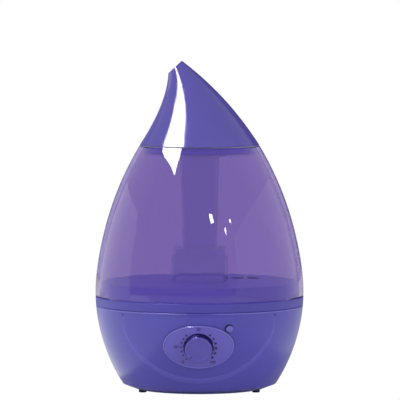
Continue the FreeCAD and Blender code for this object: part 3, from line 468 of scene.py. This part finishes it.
def bezel_rim():
    """The raised, rounded edge of the oval dial plate, coloured lighter than the plate as a painted
    highlight.
    """
    low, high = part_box("dial_bezel")
    half_wide, inset, steps = (high[0] - low[0]) / 2, 0.75 * MM, 160
    half_tall = (high[2] - low[2]) / 2 / DIAL_UP.z - 0.4 * MM
    path = []
    for i in range(steps):
        turn = 2 * math.pi * i / steps
        flat = Vector(((half_wide - inset) * math.cos(turn), (half_tall - inset) * math.sin(turn)))
        spot = on_plate(flat.x, flat.y)
        if spot is None:
            raise ValueError("the dial plate's rim isn't under the bead")
        side = Vector((math.cos(turn) / half_wide, math.sin(turn) / half_tall)).normalized()
        path.append((spot, DIAL_RIGHT * side.x + DIAL_UP * side.y, DIAL_OUT))
    return swept_ring("bezel_rim", path, 0.55 * MM, EDGE_PAINTED_HIGHLIGHT)


def seam_lip():
    """The rounded lip along the top of the base, under the tank's hem, coloured lighter than the base as a
    painted highlight.
    """
    radius, steps, under_top, probe_drop, sunk = 0.5 * MM, 200, 0.75 * MM, 1.2 * MM, 0.25 * MM
    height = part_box("base_shell")[1][2] - under_top
    path = []
    for i in range(steps):
        turn = 2 * math.pi * i / steps
        away = Vector((math.cos(turn), math.sin(turn), 0))
        spot = shell.ray_cast(away * OUTSIDE + Vector((0, 0, height - probe_drop)), -away)[0]
        point = away * (spot.xy.length - sunk) + Vector((0, 0, height))
        path.append((point, away, Vector((0, 0, 1))))
    return swept_ring("seam_lip", path, radius, EDGE_PAINTED_HIGHLIGHT)


dial_dots()
dial_numerals()
panel_bead()
lens_gap_painted_shade()
bezel_rim()
seam_lip()


# ---- Stage --------------------------------------------------------------------------------------
def emitter(name, corners, strength, diffuse=True, colour=(1, 1, 1)):
    """A flat light panel that shows only in reflections, and lights surfaces too unless told not to."""
    mesh = bpy.data.meshes.new(name)
    mesh.from_pydata([Vector(c) for c in corners], [], [list(range(len(corners)))])
    obj = bpy.data.objects.new(name, mesh)
    scene.collection.objects.link(obj)
    mat = bpy.data.materials.new(name)
    mat.use_nodes = True
    tree = mat.node_tree
    tree.nodes.clear()
    glow = add(tree, "ShaderNodeEmission", Strength=strength, Color=(*colour, 1))
    out = tree.nodes.new("ShaderNodeOutputMaterial")
    tree.links.new(glow.outputs[0], out.inputs["Surface"])
    mesh.materials.append(mat)
    obj.visible_diffuse = diffuse
    obj.visible_camera = False
    obj.visible_transmission = False
    obj.visible_shadow = False
    if not diffuse:
        mat.cycles.emission_sampling = "NONE"
    return obj


def toward(direction, distance=1.6, centre=(0, 0, 0.25)):
    return Vector(centre) + Vector(direction).normalized() * distance


# A tall window, high up on the left; its near edge is close and its far edge is not.
emitter("window", [
    (-0.285, -0.318, 0.577), (-0.334, -0.239, 0.594), (-0.386, -0.137, 0.593), (-0.410, -0.055, 0.586),
    (-0.395, -0.020, 0.604), (-0.388, -0.002, 0.613), (-0.800, 0.150, 1.200), (-0.500, -0.430, 1.300),
    (-0.505, -0.525, 1.262),
], 26.0, diffuse=False)
# A skylight over it, which only rounded edges on the base catch.
emitter("skylight", [
    (-0.583, -0.553, 1.50), (-0.855, -0.033, 1.43), (-0.341, -0.078, 1.64), (-0.272, -0.312, 1.64),
], 110.0, diffuse=False)
# Small lamps behind the camera, seen as sparkles on the tank's front.
SPARKLE = (0.013, -0.093, 0.186)
for name, corners in {
    "lamp": [
        (0.190, -0.826, 0.540), (0.245, -0.815, 0.545), (0.305, -0.820, 0.485), (0.240, -0.845, 0.475),
    ],
    "lamp_small": [
        (0.585, -0.655, 0.478), (0.615, -0.640, 0.470), (0.615, -0.650, 0.448), (0.590, -0.665, 0.455),
    ],
    "lamp_low": [
        (0.505, -0.748, 0.440), (0.525, -0.738, 0.436), (0.540, -0.745, 0.390), (0.522, -0.755, 0.392),
    ],
}.items():
    emitter(name, [toward(d, 1.6, SPARKLE) for d in corners], 40.0, diffuse=False)
# Pale walls that show as broad reflections at the sides.
emitter("left_wall", [
    (-1.2, -0.24, 0), (-1.2, -0.22, 0.23), (-1.2, -0.17, 0.53), (-1.2, -0.067, 0.655), (-1.2, 1.26, 0.646),
    (-1.2, 1.6, 0),
], 1.05)
emitter("right_wall", [(1.2, -1.45, 0), (1.2, -1.27, 0.848), (1.2, 1.03, 0.70), (1.2, 1.2, 0)], 0.75)
emitter("backdrop_left", [
    (-2.4, 2.6, 0), (0, 2.6, 0), (0, 2.6, 3.0), (-2.4, 2.6, 3.0),
], 1.0, diffuse=False, colour=(0.23, 0.23, 0.48))
emitter("backdrop_right", [
    (0, 2.6, 0), (2.2, 2.6, 0), (2.2, 2.6, 3.0), (0, 2.6, 3.0),
], 1.0, diffuse=False, colour=(0.055, 0.048, 0.22))
# Light patches on the floor that the bowl's sides reflect.
for name, corners, strength in (
    ("left_patch", [(-1.6, -1.0, 0), (-0.10, -0.50, 0), (-0.10, 0.10, 0), (-1.6, 0.10, 0)], 1.4),
    ("left_far", [(-1.6, 0.10, 0), (-0.12, 0.10, 0), (-0.17, 0.45, 0), (-1.6, 0.9, 0)], 1.3),
    ("right_patch", [(0.16, -0.45, 0), (1.6, -0.8, 0), (1.6, 0.10, 0), (0.16, 0.10, 0)], 1.05),
    ("left_front", [(-1.6, -2.4, 0), (-0.05, -1.3, 0), (-0.10, -0.50, 0), (-1.6, -1.0, 0)], 0.75),
    ("right_far", [(0.16, 0.10, 0), (1.6, 0.10, 0), (1.6, 0.9, 0), (0.26, 0.50, 0)], 0.85),
):
    emitter(name, [Vector(c) + Vector((0, 0, 0.002)) for c in corners], strength, diffuse=False)


def seen_or_dim(tree, seen, dim, out):
    """Shows one shader to the eye, also through clear plastic, and the other to everything else."""
    path = tree.nodes.new("ShaderNodeLightPath")
    either = maths(tree, "MAXIMUM", path.outputs["Is Camera Ray"], path.outputs["Is Transmission Ray"])
    blend = tree.nodes.new("ShaderNodeMixShader")
    tree.links.new(either, blend.inputs["Fac"])
    tree.links.new(dim.outputs[0], blend.inputs[1])
    tree.links.new(seen.outputs[0], blend.inputs[2])
    tree.links.new(blend.outputs[0], out.inputs["Surface"])


world = bpy.data.worlds.new("studio")
scene.world = world
world.use_nodes = True
tree = world.node_tree
tree.nodes.clear()
seen_or_dim(
    tree,
    add(tree, "ShaderNodeBackground", Strength=1.0, Color=(1, 1, 1, 1)),
    add(tree, "ShaderNodeBackground", Strength=0.45, Color=(1, 1, 1, 1)),
    tree.nodes.new("ShaderNodeOutputWorld"),
)


def area(name, place, target, size, watts):
    light = bpy.data.lights.new(name, "AREA")
    light.shape = "SQUARE"
    light.size = size
    light.energy = watts
    obj = bpy.data.objects.new(name, light)
    scene.collection.objects.link(obj)
    obj.location = place
    obj.rotation_euler = (Vector(target) - Vector(place)).to_track_quat("-Z", "Y").to_euler()
    obj.visible_glossy = False
    obj.visible_transmission = False
    return obj


area("key", (-1.7, -1.1, 1.25), (0, 0, 0.15), 1.0, 32)
area("fill", (1.7, -1.2, 0.9), (0, 0, 0.15), 1.2, 24)

floor_mesh = bpy.data.meshes.new("floor")
floor_mesh.from_pydata([(-4, -4, 0), (4, -4, 0), (4, 4, 0), (-4, 4, 0)], [], [(0, 1, 2, 3)])
floor = bpy.data.objects.new("floor", floor_mesh)
scene.collection.objects.link(floor)
floor_material = bpy.data.materials.new("white_floor")
floor_material.use_nodes = True
tree = floor_material.node_tree
tree.nodes.clear()
seen_or_dim(
    tree,
    add(tree, "ShaderNodeEmission", Strength=1.0),
    add(tree, "ShaderNodeBsdfDiffuse", Color=(0.8, 0.8, 0.8, 1)),
    tree.nodes.new("ShaderNodeOutputMaterial"),
)
floor_mesh.materials.append(floor_material)

camera_data = bpy.data.cameras.new("camera")
camera_data.sensor_width = 36
camera_data.lens = 333
camera_data.clip_end = 50
camera = bpy.data.objects.new("camera", camera_data)
scene.collection.objects.link(camera)
CAMERA_TURN, CAMERA_FAR, CAMERA_HIGH = math.radians(0.55), 3.85, 0.422
AIM = Vector((0.0005, 0, 0.199))
sideways = Vector((math.sin(CAMERA_TURN), -math.cos(CAMERA_TURN), 0)) * CAMERA_FAR
camera.location = (AIM.x + sideways.x, sideways.y, CAMERA_HIGH)
camera.rotation_euler = (AIM - camera.location).to_track_quat("-Z", "Y").to_euler()
scene.camera = camera
scene.view_settings.view_transform = "Standard"
